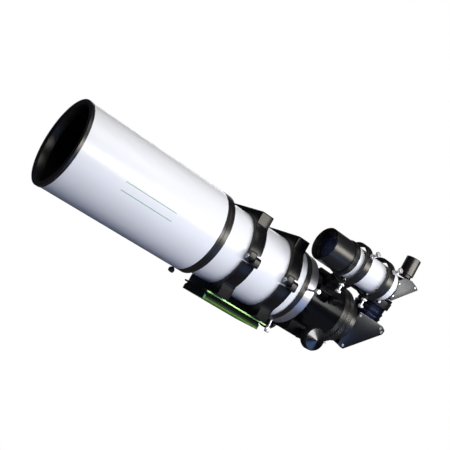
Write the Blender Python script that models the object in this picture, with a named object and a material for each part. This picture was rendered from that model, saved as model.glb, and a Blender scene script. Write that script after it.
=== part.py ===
"""Refractor telescope on a dovetail bar, with clamp rings, finder, focuser and mirror diagonal.

Points are written as (station, y, z) in millimetres. A station runs back from the front rim along
the optical axis, y is across and z is up from that axis. The model's origin is the middle of the
bar's bottom face.
"""

import math

import bmesh
import bpy
from mathutils import Vector

MM = 0.001
BAR_MIDDLE = 376.0
AXIS_HEIGHT = 91.8
GAP = 0.3

SHIELD_R = 71.8
SHIELD_BORE = 69.8
SHIELD_END = 266.0
RIM_R = 72.7
RIM_LENGTH = 6.6
COLLAR_END = 280.6

TUBE_R = 65.0
TUBE_BORE = 63.2
TUBE_FRONT = 150.0
TUBE_REAR = 454.9

RING_WIDTH = 24.2
RING_STATIONS = {"front": 326.6, "rear": 411.6}
RING_BORE = 65.3
RING_R = 72.1
RING_FLAT = 50.7
RING_TOP = 74.8
RING_FOOT = -76.7
HINGE_Y = -73.5
HINGE_Z = -1.0
KNUCKLE_R = 6.0
STUD_Y = 82.0

PLATE = (310.0, 451.4)
BLOCK = (315.0, 436.8)
BAR_HALF = 38.0
PLATE_TOP = -77.0
PLATE_BOTTOM = -79.7
BAR_BOTTOM = -91.8

ROTATOR = (463.8, 482.3)
ROTATOR_R = 64.7
ROTATOR_SCREW = 473.0
ROTATOR_ANGLES = {"near": 7.0, "upper": 142.0, "lower": 277.0}

BODY_R = 52.0
BODY_REAR = 565.5
DRAW_R = 42.9
DRAW_BORE = 40.5
KNURL_R = 52.3
KNURL = (565.8, 589.6)
BACK_R = 41.6
BACK = (589.9, 609.6)
BARREL_R = 25.3

PINION_X = 520.0
PINION_Z = -58.3
PINION_R = 6.0
KNOB_R = 20.3
KNOB_INNER = 60.2
KNOB_OUTER = 77.3
KNOB_TIP = 83.5

FINDER_Y = -104.0
FINDER_Z = 78.4
FINDER_R = 27.7
FINDER_HOLD_R = 36.5
FINDER_HOLD_BORE = 32.7
FINDER_HOLDS = {"front": (485.4, 498.3), "rear": (540.9, 555.5)}
FINDER_ANGLES = {"near": 30.0, "far": 150.0, "lower": 270.0}
EYEPIECE_X = 603.0

DIAGONAL_TURN = 10.7
FOLD_X = 648.0
SIDE_OUTER = 32.2
SIDE_INNER = 29.1
SIDE_OUTLINE = [(612, 33.4), (674, 33.4), (683.3, 28.7), (683.3, 20.6), (627.5, -38.7),
                (619.3, -38.5), (611.5, -35.7), (611.2, -29.3)]

COLOURS = {
    "white_paint": ((0.86, 0.86, 0.87), 0.25, 0.0),
    "black_anodised": ((0.03, 0.03, 0.035), 0.35, 0.6),
    "grey_black": ((0.055, 0.055, 0.06), 0.45, 0.5),
    "green_anodised": ((0.05, 0.45, 0.12), 0.3, 0.8),
    "silver": ((0.62, 0.63, 0.65), 0.3, 1.0),
    "nickel": ((0.7, 0.69, 0.67), 0.2, 1.0),
    "steel": ((0.5, 0.5, 0.52), 0.35, 1.0),
    "navy": ((0.02, 0.022, 0.05), 0.35, 0.4),
    "grey_plate": ((0.2, 0.2, 0.21), 0.5, 0.2),
    "brass": ((0.7, 0.5, 0.2), 0.3, 1.0),
    "glass": ((0.75, 0.85, 0.95), 0.05, 0.0),
    "mirror": ((0.9, 0.9, 0.9), 0.03, 1.0),
}

X_AXIS = Vector((1, 0, 0))
Y_AXIS = Vector((0, 1, 0))
Z_AXIS = Vector((0, 0, 1))
ORIGIN = Vector((-BAR_MIDDLE, 0, AXIS_HEIGHT))


def clear_scene():
    for obj in list(bpy.data.objects):
        bpy.data.objects.remove(obj, do_unlink=True)


def material(slot, name):
    colour, roughness, metallic = COLOURS[slot]
    made = bpy.data.materials.new(name)
    made.use_nodes = True
    shader = made.node_tree.nodes["Principled BSDF"]
    shader.inputs["Base Color"].default_value = (*colour, 1)
    shader.inputs["Roughness"].default_value = roughness
    shader.inputs["Metallic"].default_value = metallic
    return made


def radial(angle):
    """Direction across the telescope at an angle measured from the near side towards the top."""
    turn = math.radians(angle)
    return Vector((0, -math.cos(turn), math.sin(turn)))


def sides_of(axis):
    """Two directions that complete a right-handed frame with this axis."""
    helper = X_AXIS if abs(axis.x) < 0.9 else Z_AXIS
    first = axis.cross(helper).normalized()
    return first, axis.cross(first).normalized()


def finish(name, slot, mesh_tool, at, helper=False):
    """Turns a bmesh in millimetres round the point `at` into an object with its origin there."""
    bmesh.ops.recalc_face_normals(mesh_tool, faces=mesh_tool.faces)
    for vert in mesh_tool.verts:
        vert.co *= MM
    mesh = bpy.data.meshes.new(name)
    mesh_tool.to_mesh(mesh)
    mesh_tool.free()
    obj = bpy.data.objects.new(name, mesh)
    bpy.context.scene.collection.objects.link(obj)
    obj.location = (ORIGIN + Vector(at)) * MM
    if helper:
        obj.hide_render = True
        obj.display_type = "WIRE"
        return obj
    mesh.materials.append(material(slot, name))
    mesh.shade_smooth()
    mesh.set_sharp_from_angle(angle=math.radians(35))
    return obj


def turned(name, slot, profile, at=(0, 0, 0), axis=X_AXIS, count=28, start=0.0, helper=False):
    """Turns a closed profile of (distance along the axis, radius) points round the axis."""
    axis = Vector(axis).normalized()
    first, second = sides_of(axis)
    tool = bmesh.new()
    rings = []
    for along, radius in profile:
        if radius == 0:
            rings.append([tool.verts.new(axis * along)])
            continue
        ring = []
        for i in range(count):
            turn = start + 2 * math.pi * i / count
            side = first * math.cos(turn) + second * math.sin(turn)
            ring.append(tool.verts.new(axis * along + side * radius))
        rings.append(ring)
    for here, there in zip(rings, rings[1:] + rings[:1]):
        if len(here) == 1 and len(there) == 1:
            continue
        for i in range(count):
            j = (i + 1) % count
            if len(here) == 1:
                tool.faces.new((here[0], there[i], there[j]))
            elif len(there) == 1:
                tool.faces.new((here[i], here[j], there[0]))
            else:
                tool.faces.new((here[i], here[j], there[j], there[i]))
    return finish(name, slot, tool, at, helper)


def extruded(name, slot, outline, low, high, across, up, along, at=(0, 0, 0), helper=False):
    """Extrudes an outline in the plane of `across` and `up` from low to high in `along`."""
    tool = bmesh.new()
    ends = []
    for level in (low, high):
        ring = [tool.verts.new(across * u + up * v + along * level) for u, v in outline]
        ends.append(ring)
        tool.faces.new(ring)
    count = len(outline)
    for i in range(count):
        j = (i + 1) % count
        tool.faces.new((ends[0][i], ends[0][j], ends[1][j], ends[1][i]))
    return finish(name, slot, tool, at, helper)


def block(name, slot, low, high, at=(0, 0, 0), helper=False):
    """A box between two corners, measured from the point `at`."""
    outline = [(low[1], low[2]), (high[1], low[2]), (high[1], high[2]), (low[1], high[2])]
    return extruded(name, slot, outline, low[0], high[0], Y_AXIS, Z_AXIS, X_AXIS, at, helper)


def rod(name, at, axis, low, high, radius, count=12):
    """A hidden cylinder for cutting or joining."""
    profile = [(low, 0), (low, radius), (high, radius), (high, 0)]
    return turned(name, None, profile, at, axis, count, helper=True)


def combine(obj, others, operation):
    for other in others:
        step = obj.modifiers.new(operation.lower(), "BOOLEAN")
        step.operation = operation
        step.solver = "EXACT"
        step.object = other
    return obj


def cut(obj, *others):
    return combine(obj, others, "DIFFERENCE")


def join(obj, *others):
    return combine(obj, others, "UNION")


def arc(radius, start, end, steps):
    """Points (y, z) round the optical axis, with angles from +y towards +z."""
    turns = [math.radians(start + (end - start) * i / steps) for i in range(steps + 1)]
    return [(radius * math.cos(turn), radius * math.sin(turn)) for turn in turns]


def thumb_screw(name, at, axis, tip, shoulder, end, stem=2.0, head=4.6, nut=None, slot="nickel"):
    """A screw along the axis from its tip to a round head, with an optional lock nut."""
    profile = [(tip, 0), (tip, stem)]
    if nut:
        profile += [(nut[0], stem), (nut[0], nut[2]), (nut[1], nut[2]), (nut[1], stem)]
    profile += [(shoulder, stem), (shoulder + 1, head), (end - 1, head), (end, head - 1), (end, 0)]
    return turned(name, slot, profile, at, axis, 12)


def make_dew_shield():
    turned("dew_shield", "white_paint",
           [(6.9, SHIELD_BORE), (6.9, SHIELD_R), (SHIELD_END - GAP, SHIELD_R),
            (SHIELD_END - GAP, SHIELD_BORE)], count=32)
    turned("dew_shield_rim", "black_anodised",
           [(0, 66), (0, 71.4), (1.2, RIM_R), (RIM_LENGTH, RIM_R), (RIM_LENGTH, 69.4), (16, 69.4),
            (16, 61.5), (14.5, 61.5), (2, 64.2)], count=32)
    collar = turned("dew_shield_collar", "black_anodised",
                    [(256, 65.5), (256, 69.4), (SHIELD_END, 69.4), (SHIELD_END, 71.9),
                     (COLLAR_END, 71.9), (COLLAR_END, 65.5)], count=32)
    down = Vector((0, math.sin(math.radians(15)), -math.cos(math.radians(15))))
    at = (272.5, 0, 0)
    cut(collar, rod("shield_screw_hole", at, down, 60, 76, 2.15))
    thumb_screw("dew_shield_lock_screw", at, down, 65.4, 74.6, 82.6, head=5.2,
                slot="black_anodised")


def make_objective():
    turned("lens_cell", "black_anodised",
           [(122, 56.4), (122, 67), (149.7, 67), (149.7, 62.8), (165, 62.8), (165, 53), (150, 53),
            (150, 56.4)], count=32)
    turned("lens_retainer", "black_anodised",
           [(124, 53.2), (124, 56.0), (129.5, 56.0), (129.0, 53.2)], count=32)
    turned("lens_front", "glass",
           [(124.5, 0), (125.9, 28), (130, 55.9), (136.5, 55.9), (138.2, 28), (138.8, 0)], count=32)
    turned("lens_rear", "glass",
           [(140, 0), (139.3, 28), (137.2, 55.9), (149.6, 55.9), (148.6, 28), (148.2, 0)], count=32)


def make_tube():
    turned("main_tube", "white_paint",
           [(TUBE_FRONT, TUBE_BORE), (TUBE_FRONT, TUBE_R), (TUBE_REAR, TUBE_R),
            (TUBE_REAR, TUBE_BORE)], count=32)
    turned("tube_baffle", "black_anodised",
           [(299, 50), (299, 62.8), (307, 62.8), (307, 61.3), (300.5, 61.3), (300.5, 50)], count=32)
    turned("tube_collar", "black_anodised",
           [(445, 60), (445, 62.8), (455.2, 62.8), (455.2, 65.4), (453.4, 65.4), (453.4, 66.8),
            (463.5, 66.8), (463.5, 60)], count=32)


def make_bar():
    lower = [(31, PLATE_BOTTOM), (31, -81.2), (BAR_HALF, -85.8), (BAR_HALF, -90.4),
             (36.6, BAR_BOTTOM)]
    outline = [(y, z) for y, z in lower] + [(-y, z) for y, z in reversed(lower)]
    bar = extruded("dovetail_bar", "green_anodised", [(y, z + 0.2 * (z == PLATE_BOTTOM))
                   for y, z in outline], BLOCK[0], BLOCK[1], Y_AXIS, Z_AXIS, X_AXIS)
    chamfer = 5.5
    x0, x1 = PLATE
    plate = [(x0 + chamfer, -BAR_HALF), (x1 - chamfer, -BAR_HALF), (x1, chamfer - BAR_HALF),
             (x1, BAR_HALF - chamfer), (x1 - chamfer, BAR_HALF), (x0 + chamfer, BAR_HALF),
             (x0, BAR_HALF - chamfer), (x0, chamfer - BAR_HALF)]
    join(bar, extruded("bar_plate", None, plate, PLATE_BOTTOM, PLATE_TOP, X_AXIS, Y_AXIS, Z_AXIS,
                       helper=True))


def make_ring(where, x0):
    x1 = x0 + RING_WIDTH
    middle = (x0 + x1) / 2
    corner = math.degrees(math.acos(RING_FLAT / RING_R))
    near = (0, HINGE_Y, HINGE_Z)

    outer = arc(RING_R, 0.25, corner, 4) + [(RING_FLAT, RING_TOP), (-RING_FLAT, RING_TOP)]
    outer += arc(RING_R, 180 - corner, 179.75, 4)
    inner = arc(RING_BORE, 179.75, 0.25, 18)
    upper = extruded(f"ring_{where}_upper", "black_anodised", outer + inner, x0, x1,
                     Y_AXIS, Z_AXIS, X_AXIS)
    knuckle_end = middle - GAP
    join(upper,
         block(f"{where}_upper_lug", None, (x0 + 0.01, -78.8, 0.31), (knuckle_end, -66.4, 9.6),
               helper=True),
         rod(f"{where}_upper_barrel", near, X_AXIS, x0, knuckle_end + 0.005, KNUCKLE_R, 16),
         block(f"{where}_upper_ear", None, (middle - 9, 66.5, 1.5), (middle + 9, 91, 9.5),
               helper=True))
    cut(upper,
        block(f"{where}_upper_relief", None, (middle - 0.3, -85, -8), (x1 + 1, -60, 8.2),
              helper=True),
        rod(f"{where}_upper_pin_hole", near, X_AXIS, x0 - 1, x1 + 1, 2.65),
        rod(f"{where}_upper_stud_hole", (middle, STUD_Y, 0), Z_AXIS, 0, 12, 3.2))

    outer = arc(RING_R, -0.25, -corner, 4) + [(RING_FLAT, RING_FOOT), (-RING_FLAT, RING_FOOT)]
    outer += arc(RING_R, corner - 180, -179.75, 4)
    inner = arc(RING_BORE, -179.75, -0.25, 18)
    lower = extruded(f"ring_{where}_lower", "black_anodised", outer + inner, x0, x1,
                     Y_AXIS, Z_AXIS, X_AXIS)
    knuckle_start = middle + GAP
    join(lower,
         block(f"{where}_lower_lug", None, (knuckle_start, -78.8, -12.4), (x1 - 0.01, -66.4, -0.9),
               helper=True),
         rod(f"{where}_lower_barrel", near, X_AXIS, knuckle_start - 0.005, x1, KNUCKLE_R, 16),
         block(f"{where}_lower_ear", None, (middle - 9, 66.5, -9.5), (middle + 9, 91, -1.5),
               helper=True))
    cut(lower,
        block(f"{where}_lower_relief", None, (x0 - 1, -85, -10.8), (middle + 0.3, -60, 8),
              helper=True),
        rod(f"{where}_lower_pin_hole", near, X_AXIS, x0 - 1, x1 + 1, 2.65),
        block(f"{where}_lower_slot", None, (middle - 3.8, 78, -12), (middle + 3.8, 95, 1),
              helper=True))

    turned(f"hinge_pin_{where}", "steel",
           [(x0 - 1.8, 0), (x0 - 1.8, 3.6), (x0 - 0.3, 4.2), (x0 - 0.3, 2.5), (x1 + 0.6, 2.5),
            (x1 + 0.6, 0)], near, X_AXIS, 12)
    turned(f"clamp_knob_{where}", "black_anodised",
           [(-14, 0), (-14, 3), (9.8, 3), (9.8, 8.2), (11, 9), (24, 9), (26, 7.5), (26, 0)],
           (middle, STUD_Y, 0), Z_AXIS, 16)


def make_rotator():
    ring = turned("rotator_ring", "silver",
                  [(ROTATOR[0], 58), (ROTATOR[0], 64.2), (464.4, ROTATOR_R), (481.7, ROTATOR_R),
                   (ROTATOR[1], 64.2), (ROTATOR[1], 54.5), (480, 54.5), (480, 58)])
    at = (ROTATOR_SCREW, 0, 0)
    for where, angle in ROTATOR_ANGLES.items():
        way = radial(angle)
        cut(ring, rod(f"rotator_hole_{where}", at, way, 50, 70, 2.15))
        thumb_screw(f"rotator_screw_{where}", at, way, 57.6, 76, 87)


def make_focuser():
    body = turned("focuser_body", "black_anodised",
                  [(464.1, 43.6), (464.1, 57.3), (479.6, 57.3), (479.6, BODY_R),
                   (BODY_REAR, BODY_R), (BODY_REAR, 43.6)])
    cut(body, block("rack_slot", None, (460, -5, -62), (570, 5, -41), helper=True))

    low = -66.0
    outline = [(-26, -44), (-26, -61), (-21, low), (21, low), (26, -61), (26, -44)]
    housing = extruded("pinion_housing", "black_anodised", outline, 497, 561, Y_AXIS, Z_AXIS, X_AXIS)
    shaft_at = (PINION_X, 0, PINION_Z)
    join(housing, rod("housing_boss", shaft_at, Y_AXIS, -59.6, 59.6, 7.2, 20))
    cut(housing,
        rod("housing_seat", (0, 0, 0), X_AXIS, 490, 570, BODY_R + 0.45, 36),
        block("pinion_pocket", None, (512, -8, -64.7), (528, 8, -40), helper=True),
        block("rack_pocket", None, (490, -5, -53.2), (570, 5, -40), helper=True),
        rod("shaft_hole", shaft_at, Y_AXIS, -70, 70, 3.2, 16))

    turned("drawtube", "black_anodised",
           [(435, DRAW_BORE), (435, DRAW_R), (588, DRAW_R), (588, DRAW_BORE)])
    block("focus_rack", "brass", (435.5, -4, -52), (530, 4, -43.3))
    turned("pinion_shaft", "steel",
           [(-72, 0), (-72, 3), (-7, 3), (-7, PINION_R), (7, PINION_R), (7, 3), (72, 3), (72, 0)],
           shaft_at, Y_AXIS, 16)
    rim = [(KNOB_INNER, 3.3), (KNOB_INNER, 18.6), (61.4, KNOB_R), (76.2, KNOB_R)]
    turned("focus_knob_near", "black_anodised",
           rim + [(KNOB_OUTER, 19), (KNOB_TIP, 0), (72.4, 0), (72.4, 3.3)], shaft_at, -Y_AXIS, 28)
    turned("focus_knob_far", "black_anodised",
           rim + [(KNOB_OUTER, 19), (KNOB_OUTER, 0), (72.4, 0), (72.4, 3.3)], shaft_at, Y_AXIS, 28)
    turned("fine_focus_knob", "silver",
           [(77.7, 0), (77.7, 10.6), (78.5, 11.4), (88, 11.4), (90, 9.6), (90, 0)],
           shaft_at, Y_AXIS, 20)

    turned("knurled_ring", "black_anodised",
           [(KNURL[0], 43.4), (KNURL[0], KNURL_R), (577, KNURL_R), (577.5, 51.2), (578.3, 51.2),
            (578.8, KNURL_R), (KNURL[1], KNURL_R), (KNURL[1], 43.4)])
    back = turned("visual_back", "black_anodised",
                  [(578, 25.7), (578, 40.1), (588.3, 40.1), (588.3, 38), (BACK[0], 38),
                   (BACK[0], 41), (590.5, BACK_R), (609, BACK_R), (BACK[1], 41), (BACK[1], 25.7)])
    at = (603, 0, 0)
    cut(back, rod("back_screw_hole", at, -Z_AXIS, 20, 50, 2.15))
    thumb_screw("visual_back_screw", at, -Z_AXIS, 25.9, 43.5, 51, head=4.0)


def make_diagonal():
    turn = math.radians(DIAGONAL_TURN)
    up = Vector((0, -math.sin(turn), math.cos(turn)))
    near = Vector((0, -math.cos(turn), -math.sin(turn)))
    fold = Vector((FOLD_X, 0, 0))
    turned("diagonal_nosepiece", "nickel",
           [(576, 22.6), (576, BARREL_R), (610, BARREL_R), (610, 28.4), (611.6, 28.4), (611.6, 22.6)])
    inset = [(612, 33), (673.6, 33), (682.6, 28.4), (682.6, 21), (627.1, -38), (619.5, -37.8),
             (612, -35.3)]
    body = extruded("diagonal_body", "grey_black", inset, -28.8, 28.8, X_AXIS, up, near)
    cavity = [(616, -31), (626.2, -31), (672, 14.8), (672, 29), (616, 29)]
    cut(body,
        extruded("diagonal_cavity", None, cavity, -25, 25, X_AXIS, up, near, helper=True),
        rod("diagonal_front_bore", (0, 0, 0), X_AXIS, 605, 630, 22.6, 24),
        rod("diagonal_top_bore", fold, up, 10, 36, 22.6, 24))
    extruded("diagonal_plate_near", "navy", SIDE_OUTLINE, SIDE_INNER, SIDE_OUTER, X_AXIS, up, near)
    extruded("diagonal_plate_far", "navy", SIDE_OUTLINE, -SIDE_OUTER, -SIDE_INNER, X_AXIS, up, near)
    thick = 4.24
    glass = [(624, -24), (667, 19), (667 + thick, 19 - thick), (624 + thick, -24 - thick)]
    extruded("diagonal_mirror", "mirror", glass, -23.5, 23.5, X_AXIS, up, near)
    holder = turned("eyepiece_holder", "grey_black",
                    [(33.7, 23), (33.7, 28.6), (36.5, 28.6), (37.5, 29.6), (39.5, 29.6), (40.5, 28),
                     (45, 28), (46, 29), (48.5, 29), (50, 27), (74.3, 27), (74.3, 29.6),
                     (78.2, 29.6), (79, 28.8), (79, 25.6), (45, 25.6), (45, 23)], fold, up, 24)
    ring = turned("holder_ring", "black_anodised",
                  [(59.5, 27.5), (59.5, 30.4), (60.2, 31), (73.3, 31), (74, 30.4), (74, 27.5)],
                  fold, up, 24)
    at = fold + up * 67
    for where, angle in (("front", 150.0), ("near", 245.0)):
        way = X_AXIS * math.cos(math.radians(angle)) - near * math.sin(math.radians(angle))
        hole = rod(f"holder_hole_{where}", at, way, 20, 40, 1.9)
        cut(holder, hole)
        cut(ring, hole)
        thumb_screw(f"holder_screw_{where}", at, way, 26, 31.4, 37, stem=1.75, head=3.2)


def make_finder():
    out = Vector((0, FINDER_Y, FINDER_Z)).normalized()
    side = out.cross(X_AXIS).normalized()
    reach = math.hypot(FINDER_Y, FINDER_Z)
    centre = (0, FINDER_Y, FINDER_Z)

    wall = [(-22, 48), (22, 48), (22, 62), (11.2, 62), (16.4, 56.7), (-16.4, 56.7), (-11.2, 62),
            (-22, 62)]
    shoe = extruded("finder_shoe", "black_anodised", wall, 490, 547, side, out, X_AXIS)
    cut(shoe, rod("shoe_seat", (0, 0, 0), X_AXIS, 480, 560, BODY_R + 0.45, 36))
    down = -side if side.z > 0 else side
    shoe_at = Vector((525, 0, 0)) + out * 59.4
    cut(shoe, rod("shoe_screw_hole", shoe_at, down, 5, 30, 2.15))
    turned("finder_shoe_knob", "black_anodised",
           [(16, 0), (16, 2), (22.8, 2), (22.8, 8.6), (23.6, 9.5), (31, 9.5), (32.4, 8), (32.4, 0)],
           shoe_at, down, 16)

    foot = [(-15.9, 57.1), (15.9, 57.1), (10.9, 61.9), (10.9, 67), (8, 67), (8, 93), (10, 95),
            (-10, 95), (-8, 93), (-8, 67), (-10.9, 67), (-10.9, 61.9)]
    bracket = extruded("finder_bracket", "black_anodised", foot, 500, 533, side, out, X_AXIS)
    cut_tools = []
    bar = [(-9, 91.5), (9, 91.5), (9, 99), (-9, 99)]
    joins = [extruded("bracket_bar", None, bar, 485.6, 555.3, side, out, X_AXIS, helper=True)]
    for where, (x0, x1) in FINDER_HOLDS.items():
        joins.append(turned(f"bracket_ring_{where}", None,
                            [(x0, 28.5), (x0, FINDER_HOLD_R), (x1, FINDER_HOLD_R), (x1, 28.5)],
                            centre, X_AXIS, 24, helper=True))
        middle = (x0 + x1) / 2
        for way, angle in FINDER_ANGLES.items():
            at = (middle, FINDER_Y, FINDER_Z)
            cut_tools.append(rod(f"finder_hole_{where}_{way}", at, radial(angle), 29, 42, 2.15))
            thumb_screw(f"finder_screw_{where}_{way}", at, radial(angle), 28.1, 49, 54.5,
                        head=4.9, nut=(38.5, 41.5, 4.9))
    join(bracket, *joins)
    cut(bracket, rod("bracket_bore", centre, X_AXIS, 470, 570, FINDER_HOLD_BORE, 24), *cut_tools)

    turned("finder_tube", "white_paint",
           [(452, 23.8), (452, 24.9), (465.4, 24.9), (465.4, FINDER_R), (573.5, FINDER_R),
            (573.5, 26.5), (468, 26.5), (468, 23.8)], centre, X_AXIS, 24)
    turned("finder_dew_shield", "black_anodised",
           [(422.2, 27.2), (422.2, 28.3), (422.7, 28.7), (464.8, 28.7), (464.8, 25.4),
            (446, 25.4), (446, 22.5), (444.6, 22.5), (444.6, 26), (434, 26), (434, 26.9)],
           centre, X_AXIS, 24)
    turned("finder_lens", "glass",
           [(435.5, 0), (437.6, 25.6), (444, 25.6), (443.2, 0)], centre, X_AXIS, 24)
    turned("finder_lock_ring", "black_anodised",
           [(465.1, 28.1), (465.1, 30.1), (465.7, 30.6), (475.5, 30.6), (476.1, 30.1),
            (476.1, 28.1)], centre, X_AXIS, 24)

    outline = [(589.6, 60), (583.3, 66), (583.3, 95.2), (595.4, 106), (609.6, 108.6),
               (623, 105.7), (631.8, 101.3)]
    housing = extruded("finder_prism_housing", "grey_plate", outline, -13.5, 13.5, X_AXIS, Z_AXIS,
                       Y_AXIS, (0, FINDER_Y, 0))
    pocket = [(588, 67), (588, 95), (597, 102.5), (618, 102.5), (625, 100)]
    join(housing, turned("prism_neck", None,
                         [(573.8, 0), (573.8, 27.2), (576.5, 27.2), (581, 18), (586, 17.5),
                          (586, 0)], centre, X_AXIS, 24, helper=True))
    cut(housing,
        extruded("prism_pocket", None, pocket, -10.5, 10.5, X_AXIS, Z_AXIS, Y_AXIS,
                 (0, FINDER_Y, 0), helper=True),
        rod("prism_light_path", centre, X_AXIS, 560, 595, 9.5, 20),
        rod("prism_exit", (EYEPIECE_X, FINDER_Y, 0), Z_AXIS, 98, 112, 7.5, 16))
    glass = [(589, 70), (589, 93), (597.5, 101), (617, 101), (621.5, 99.5)]
    extruded("finder_prism", "glass", glass, -9.5, 9.5, X_AXIS, Z_AXIS, Y_AXIS, (0, FINDER_Y, 0))
    turned("finder_eyepiece", "black_anodised",
           [(109.2, 0), (109.2, 10.5), (114, 10.5), (114, 12.9), (144.4, 12.9), (145, 12.2),
            (145, 8.5), (142, 7), (142, 0)], (EYEPIECE_X, FINDER_Y, 0), Z_AXIS, 24)


clear_scene()
make_dew_shield()
make_objective()
make_tube()
make_bar()
for ring_name, ring_station in RING_STATIONS.items():
    make_ring(ring_name, ring_station)
make_rotator()
make_focuser()
make_diagonal()
make_finder()
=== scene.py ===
import math

import bmesh
import bpy
from mathutils import Matrix, Vector


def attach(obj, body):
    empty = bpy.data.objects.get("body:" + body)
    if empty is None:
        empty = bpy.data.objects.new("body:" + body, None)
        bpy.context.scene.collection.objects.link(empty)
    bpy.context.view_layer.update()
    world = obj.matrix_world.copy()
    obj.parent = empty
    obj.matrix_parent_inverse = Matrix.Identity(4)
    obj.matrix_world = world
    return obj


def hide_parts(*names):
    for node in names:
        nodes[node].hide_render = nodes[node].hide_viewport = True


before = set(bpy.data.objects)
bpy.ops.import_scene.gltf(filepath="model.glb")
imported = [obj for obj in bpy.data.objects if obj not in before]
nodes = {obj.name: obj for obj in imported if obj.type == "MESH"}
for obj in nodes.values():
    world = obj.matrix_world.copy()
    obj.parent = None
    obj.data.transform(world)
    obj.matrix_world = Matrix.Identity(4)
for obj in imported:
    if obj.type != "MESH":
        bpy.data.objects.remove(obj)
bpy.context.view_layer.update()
print("frame loaded")

mm = 0.001
xAxis, yAxis, zAxis = Vector((1, 0, 0)), Vector((0, 1, 0)), Vector((0, 0, 1))
place = {"barMiddle": 376.0, "axisHeight": 91.8}
origin = Vector((-place["barMiddle"], 0, place["axisHeight"]))

# camera
cameraSettings = {"at": (-0.76379, -1.194716, -0.032863), "turn": (1.697978, -0.512211, -0.589024),
                  "sensor": 36.0, "lens": 68.69}
camera = bpy.data.objects.new("camera", bpy.data.cameras.new("camera"))
bpy.context.scene.collection.objects.link(camera)
camera.location = cameraSettings["at"]
camera.rotation_euler = cameraSettings["turn"]
camera.data.sensor_width = cameraSettings["sensor"]
camera.data.lens = cameraSettings["lens"]
camera.data.clip_start, camera.data.clip_end = 0.05, 30
bpy.context.scene.camera = camera


# materials
def newMaterial(name, colour, rough, metal, bump=0.2, grain=(900, 900, 900), colourSpread=0.06,
                roughSpread=0.08, coat=0.0, specks=0.0, specular=0.5, tint=None):
    mat = bpy.data.materials.new(name)
    mat.use_nodes = True
    tree = mat.node_tree
    shader = tree.nodes["Principled BSDF"]
    shader.inputs["Metallic"].default_value = metal
    shader.inputs["Coat Weight"].default_value = coat
    shader.inputs["Coat Roughness"].default_value = 0.12
    shader.inputs["Specular IOR Level"].default_value = specular
    if tint:
        shader.inputs["Specular Tint"].default_value = (*tint, 1)
    coords = tree.nodes.new("ShaderNodeTexCoord")
    stretch = tree.nodes.new("ShaderNodeMapping")
    stretch.inputs["Scale"].default_value = grain
    tree.links.new(coords.outputs["Object"], stretch.inputs["Vector"])
    fine = tree.nodes.new("ShaderNodeTexNoise")
    fine.inputs["Scale"].default_value = 1.0
    fine.inputs["Detail"].default_value = 3.0
    tree.links.new(stretch.outputs["Vector"], fine.inputs["Vector"])
    broad = tree.nodes.new("ShaderNodeTexNoise")  # slow change over a hand's width
    broad.inputs["Scale"].default_value = 14.0
    broad.inputs["Detail"].default_value = 4.0
    tree.links.new(coords.outputs["Object"], broad.inputs["Vector"])

    tone = tree.nodes.new("ShaderNodeMapRange")
    tone.inputs["To Min"].default_value = 1 - colourSpread
    tone.inputs["To Max"].default_value = 1 + colourSpread
    tree.links.new(broad.outputs["Fac"], tone.inputs["Value"])
    scaled = tree.nodes.new("ShaderNodeVectorMath")
    scaled.operation = "SCALE"
    scaled.inputs[0].default_value = colour
    tree.links.new(tone.outputs["Result"], scaled.inputs["Scale"])
    lastColour = scaled.outputs["Vector"]
    if specks:
        dots = tree.nodes.new("ShaderNodeTexVoronoi")  # dust and small pores
        dots.inputs["Scale"].default_value = 420.0
        tree.links.new(coords.outputs["Object"], dots.inputs["Vector"])
        near = tree.nodes.new("ShaderNodeMapRange")
        near.inputs["From Min"].default_value = 0.05
        near.inputs["From Max"].default_value = 0.12
        near.inputs["To Min"].default_value = specks
        near.inputs["To Max"].default_value = 0.0
        tree.links.new(dots.outputs["Distance"], near.inputs["Value"])
        mix = tree.nodes.new("ShaderNodeMix")
        mix.data_type = "RGBA"
        mix.inputs[7].default_value = (0.35, 0.34, 0.33, 1)
        tree.links.new(near.outputs["Result"], mix.inputs[0])
        tree.links.new(lastColour, mix.inputs[6])
        lastColour = mix.outputs[2]
    tree.links.new(lastColour, shader.inputs["Base Color"])

    wear = tree.nodes.new("ShaderNodeMapRange")
    wear.inputs["To Min"].default_value = max(0.02, rough - roughSpread)
    wear.inputs["To Max"].default_value = min(1, rough + roughSpread)
    tree.links.new(fine.outputs["Fac"], wear.inputs["Value"])
    tree.links.new(wear.outputs["Result"], shader.inputs["Roughness"])
    if bump:
        relief = tree.nodes.new("ShaderNodeBump")
        relief.inputs["Strength"].default_value = bump
        relief.inputs["Distance"].default_value = 0.0001
        tree.links.new(fine.outputs["Fac"], relief.inputs["Height"])
        tree.links.new(relief.outputs["Normal"], shader.inputs["Normal"])
    return mat


def glassMaterial(name, tint, coating):
    mat = bpy.data.materials.new(name)
    mat.use_nodes = True
    tree = mat.node_tree
    shader = tree.nodes["Principled BSDF"]
    shader.inputs["Base Color"].default_value = (*tint, 1)
    shader.inputs["Transmission Weight"].default_value = 0.9
    shader.inputs["Roughness"].default_value = 0.02
    shader.inputs["IOR"].default_value = 1.52
    shader.inputs["Coat Weight"].default_value = 0.6
    shader.inputs["Coat Tint"].default_value = (*coating, 1)
    shader.inputs["Specular Tint"].default_value = (*coating, 1)
    coords = tree.nodes.new("ShaderNodeTexCoord")
    dust = tree.nodes.new("ShaderNodeTexNoise")
    dust.inputs["Scale"].default_value = 260.0
    tree.links.new(coords.outputs["Object"], dust.inputs["Vector"])
    haze = tree.nodes.new("ShaderNodeMapRange")
    haze.inputs["From Min"].default_value = 0.55
    haze.inputs["To Min"].default_value = 0.015
    haze.inputs["To Max"].default_value = 0.06
    tree.links.new(dust.outputs["Fac"], haze.inputs["Value"])
    tree.links.new(haze.outputs["Result"], shader.inputs["Roughness"])
    return mat


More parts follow.
